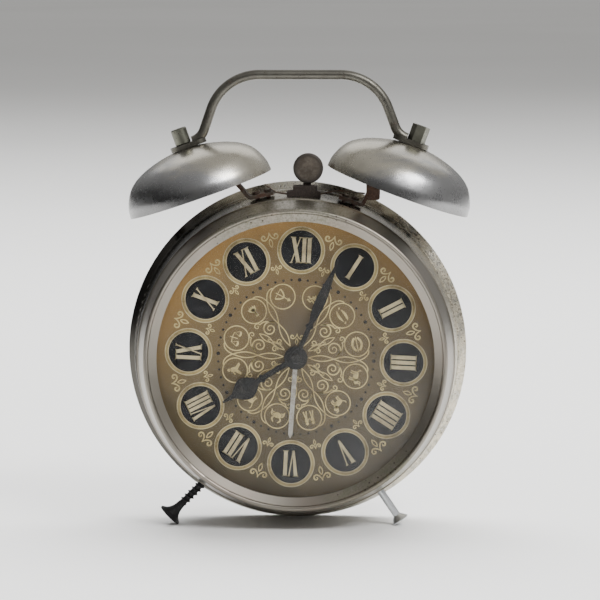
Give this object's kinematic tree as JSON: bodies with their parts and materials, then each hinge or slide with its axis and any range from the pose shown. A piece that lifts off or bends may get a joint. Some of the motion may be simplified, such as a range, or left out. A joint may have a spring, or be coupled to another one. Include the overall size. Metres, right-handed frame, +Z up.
{
  "type": "alarm clock",
  "caption": "Round wind-up alarm clock with domed bells, a hammer between them, an arched wire handle, a roman-numeral dial behind glass and screw feet.",
  "frame": {"origin": "middle of the object's footprint, on the surface that it stands on", "axes": "+Z up, the dial faces -Y, +X to the viewer's right"},
  "size_m": [0.1157, 0.059, 0.1533],
  "materials": {
    "case_nickel": "aged nickel plate with tarnish and pitting",
    "bell_metal": "satin, tarnished on the crown",
    "glass": "clear, slightly hazy",
    "dial_print": "printed antique bronze",
    "dull_steel": "dull, spotted with rust",
    "nut_steel": "dull",
    "brown_iron": "brown patina",
    "black_screw": "black phosphate",
    "zinc_screw": "bright zinc",
    "black_hands": "matt black",
    "silver_hand": "plain",
    "brass": "plain",
    "train_steel": "turned",
    "spring_steel": "blued",
    "key_metal": "worn"
  },
  "bodies": {
    "case": {"case_drum": "case_nickel", "bezel": "case_nickel", "crystal": "glass", "sight_ring": "dull_steel", "dial": "dial_print", "back_cover": "dull_steel", "cover_spacers": "dull_steel", "cover_screws": "dull_steel", "foot_screw_left": "black_screw", "foot_screw_right": "zinc_screw", "foot_blocks": "dull_steel", "front_plate": "brass", "back_plate": "brass", "pillars": "train_steel", "time_mainspring": "spring_steel", "alarm_mainspring": "spring_steel", "hairspring": "spring_steel", "hammer_guard": "brown_iron", "guard_wires": "dull_steel", "bell_left": "bell_metal", "bell_right": "bell_metal", "bell_bracket_left": "dull_steel", "bell_bracket_right": "dull_steel", "bell_screws": "dull_steel", "bracket_rivets": "dull_steel", "handle": "dull_steel", "handle_nut_left": "nut_steel", "handle_nut_right": "nut_steel"},
    "minute_hand_group": {"minute_hand": "black_hands", "hand_cap": "black_hands", "centre_arbor": "train_steel", "cannon_pinion": "train_steel", "hand_set_knob": "key_metal"},
    "minute_wheel_group": {"minute_wheel": "brass"},
    "hour_hand_group": {"hour_wheel": "brass", "hour_hand": "black_hands"},
    "alarm_hand_group": {"alarm_hand_wheel": "brass", "alarm_hand": "silver_hand"},
    "alarm_set_group": {"alarm_set_arbor": "train_steel", "alarm_set_knob": "key_metal"},
    "centre_wheel_group": {"centre_wheel": "brass"},
    "time_great_group": {"time_great_wheel": "brass", "time_click": "train_steel"},
    "time_winding_group": {"time_winding_arbor": "train_steel", "time_winding_key": "key_metal"},
    "third_wheel_group": {"third_wheel": "brass"},
    "fourth_wheel_group": {"fourth_wheel": "brass"},
    "escape_wheel_group": {"escape_wheel": "brass"},
    "pallet_group": {"pallet_lever": "brass"},
    "balance_group": {"balance_wheel": "brass"},
    "regulator_group": {"regulator": "brass"},
    "alarm_great_group": {"alarm_great_wheel": "brass", "alarm_click": "train_steel"},
    "alarm_winding_group": {"alarm_winding_arbor": "train_steel", "alarm_winding_key": "key_metal"},
    "star_wheel_group": {"star_wheel": "brass"},
    "hammer_group": {"hammer_arbor": "train_steel", "hammer_arm": "brown_iron", "hammer_head": "brown_iron"},
    "alarm_stop_group": {"alarm_stop": "train_steel"}
  },
  "joints": [
    {"name": "minute_hand_turn", "type": "hinge", "parent": "case", "child": "minute_hand_group", "pos_m": [0, -0.0125, 0.0575], "axis": [0, 1, 0], "continuous": true},
    {"name": "minute_wheel_turn", "type": "hinge", "parent": "case", "child": "minute_wheel_group", "pos_m": [0.00688, -0.0088, 0.04767], "axis": [0, 1, 0], "continuous": true},
    {"name": "hour_hand_turn", "type": "hinge", "parent": "case", "child": "hour_hand_group", "pos_m": [0, -0.0105, 0.0575], "axis": [0, 1, 0], "continuous": true},
    {"name": "alarm_set_turn", "type": "hinge", "parent": "case", "child": "alarm_set_group", "pos_m": [-0.01032, -0.0075, 0.07225], "axis": [0, 1, 0], "continuous": true},
    {"name": "alarm_hand_turn", "type": "hinge", "parent": "case", "child": "alarm_hand_group", "pos_m": [0, -0.0115, 0.0575], "axis": [0, 1, 0], "continuous": true},
    {"name": "fourth_wheel_turn", "type": "hinge", "parent": "case", "child": "fourth_wheel_group", "pos_m": [0.00576, 0.0012, 0.03231], "axis": [0, 1, 0], "continuous": true},
    {"name": "third_wheel_turn", "type": "hinge", "parent": "case", "child": "third_wheel_group", "pos_m": [0.01041, -0.0012, 0.04509], "axis": [0, 1, 0], "continuous": true},
    {"name": "centre_wheel_turn", "type": "hinge", "parent": "case", "child": "centre_wheel_group", "pos_m": [0, -0.0051, 0.0575], "axis": [0, 1, 0], "continuous": true},
    {"name": "time_great_wheel_turn", "type": "hinge", "parent": "case", "child": "time_great_group", "pos_m": [-0.01903, -0.0035, 0.04863], "axis": [0, 1, 0], "continuous": true},
    {"name": "escape_wheel_turn", "type": "hinge", "parent": "case", "child": "escape_wheel_group", "pos_m": [0.01692, 0.0045, 0.03133], "axis": [0, 1, 0], "continuous": true},
    {"name": "time_winding_turn", "type": "hinge", "parent": "case", "child": "time_winding_group", "pos_m": [-0.01903, 0.0175, 0.04863], "axis": [0, 1, 0], "continuous": true},
    {"name": "alarm_winding_turn", "type": "hinge", "parent": "case", "child": "alarm_winding_group", "pos_m": [0.014, 0.0175, 0.0745], "axis": [0, 1, 0], "continuous": true},
    {"name": "alarm_great_wheel_turn", "type": "hinge", "parent": "case", "child": "alarm_great_group", "pos_m": [0.014, -0.0035, 0.0745], "axis": [0, 1, 0], "continuous": true},
    {"name": "star_wheel_turn", "type": "hinge", "parent": "case", "child": "star_wheel_group", "pos_m": [0.00771, -0.0035, 0.09008], "axis": [0, 1, 0], "continuous": true},
    {"name": "pallet_swing", "type": "hinge", "parent": "case", "child": "pallet_group", "pos_m": [0.02471, 0.0035, 0.03497], "axis": [0, 1, 0], "range_deg": [-6, 6]},
    {"name": "balance_swing", "type": "hinge", "parent": "case", "child": "balance_group", "pos_m": [0.02654, 0.0005, 0.04531], "axis": [0, 1, 0], "range_deg": [-120, 120], "stiffness_Nm_per_rad": 0.000012},
    {"name": "regulator_swing", "type": "hinge", "parent": "case", "child": "regulator_group", "pos_m": [0.02654, 0.0075, 0.04531], "axis": [0, 1, 0], "range_deg": [-18, 18]},
    {"name": "hammer_swing", "type": "hinge", "parent": "case", "child": "hammer_group", "pos_m": [0.0022, -0.0045, 0.094], "axis": [0, 1, 0], "range_deg": [-14.5, 2]},
    {"name": "alarm_stop_slide", "type": "slide", "parent": "case", "child": "alarm_stop_group", "axis": [0, 1, 0], "range_m": [-0.0025, 0]}
  ],
  "couplings": [
    {"joint": "minute_wheel_turn", "follows": "minute_hand_turn", "ratio": -0.33333},
    {"joint": "hour_hand_turn", "follows": "minute_hand_turn", "ratio": 0.083333},
    {"joint": "alarm_hand_turn", "follows": "alarm_set_turn", "ratio": -1},
    {"joint": "third_wheel_turn", "follows": "fourth_wheel_turn", "ratio": -0.13333},
    {"joint": "centre_wheel_turn", "follows": "fourth_wheel_turn", "ratio": 0.016667},
    {"joint": "time_great_wheel_turn", "follows": "fourth_wheel_turn", "ratio": -0.0027778},
    {"joint": "escape_wheel_turn", "follows": "fourth_wheel_turn", "ratio": -7},
    {"joint": "star_wheel_turn", "follows": "alarm_great_wheel_turn", "ratio": -6}
  ]
}
